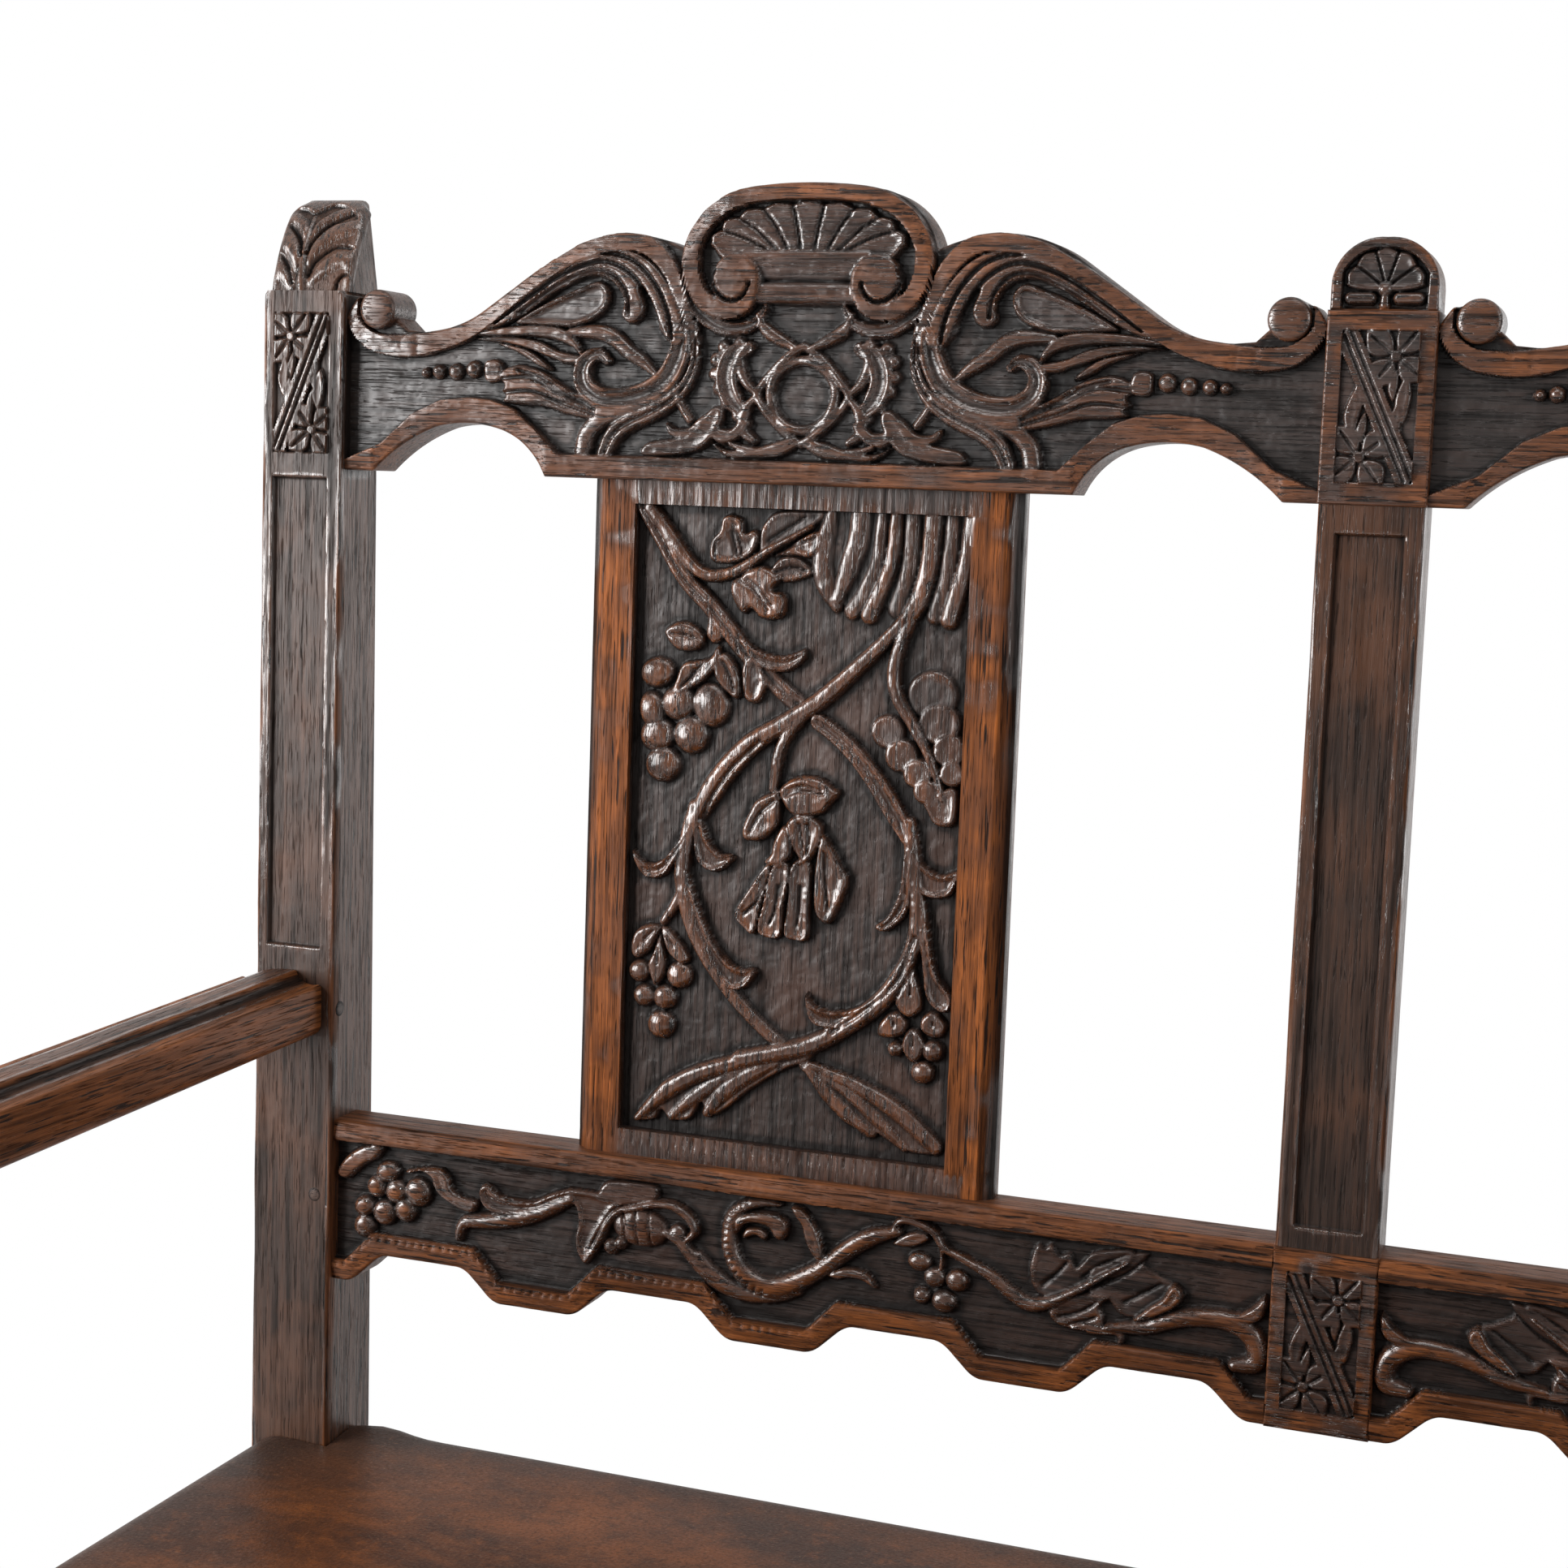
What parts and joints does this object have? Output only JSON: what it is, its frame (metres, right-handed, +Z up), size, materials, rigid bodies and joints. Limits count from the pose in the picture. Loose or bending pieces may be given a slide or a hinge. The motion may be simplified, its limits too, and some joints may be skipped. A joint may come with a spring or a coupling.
{
  "type": "hall bench",
  "caption": "Carved dark oak hall bench: scrolled crest rail, carved back panels, moulded scroll arms, turned front legs and a leather-covered seat.",
  "frame": {"origin": "on the floor under the middle of the bench", "axes": "+X along the bench, +Y towards its back, +Z up; the sitter faces -Y"},
  "size_m": [1.1466, 0.5, 1.107],
  "materials": {
    "oak": "dark stained oak, waxed, worn to red-brown on the edges",
    "raw_oak": "unfinished aged oak",
    "peg_oak": "dark stained oak end grain",
    "webbing": "woven jute",
    "hessian": "coarse woven",
    "stuffing": "fibre pad",
    "leather": "worn brown hide, satin",
    "nail_brass": "aged brass"
  },
  "bodies": {
    "root": {"back_post_left": "oak", "back_post_right": "oak", "crest_rail": "oak", "lower_back_rail": "oak", "centre_muntin": "oak", "splat_left": "oak", "splat_right": "oak", "arm_left": "oak", "arm_right": "oak", "front_leg_left": "oak", "front_leg_right": "oak", "seat_rail_front": "oak", "seat_rail_back": "oak", "seat_rail_left": "oak", "seat_rail_right": "oak", "seat_cross_brace": "raw_oak", "corner_brace_front_left": "raw_oak", "corner_brace_front_right": "raw_oak", "corner_brace_back_left": "raw_oak", "corner_brace_back_right": "raw_oak", "stretcher_left": "oak", "stretcher_right": "oak", "stretcher_centre": "oak", "webbing_across": "webbing", "webbing_along": "webbing", "hessian_base": "hessian", "seat_stuffing": "stuffing", "leather_cover": "leather", "cover_nails": "nail_brass", "crest_pegs": "peg_oak", "lower_rail_pegs": "peg_oak", "arm_pegs": "peg_oak"}
  },
  "joints": []
}
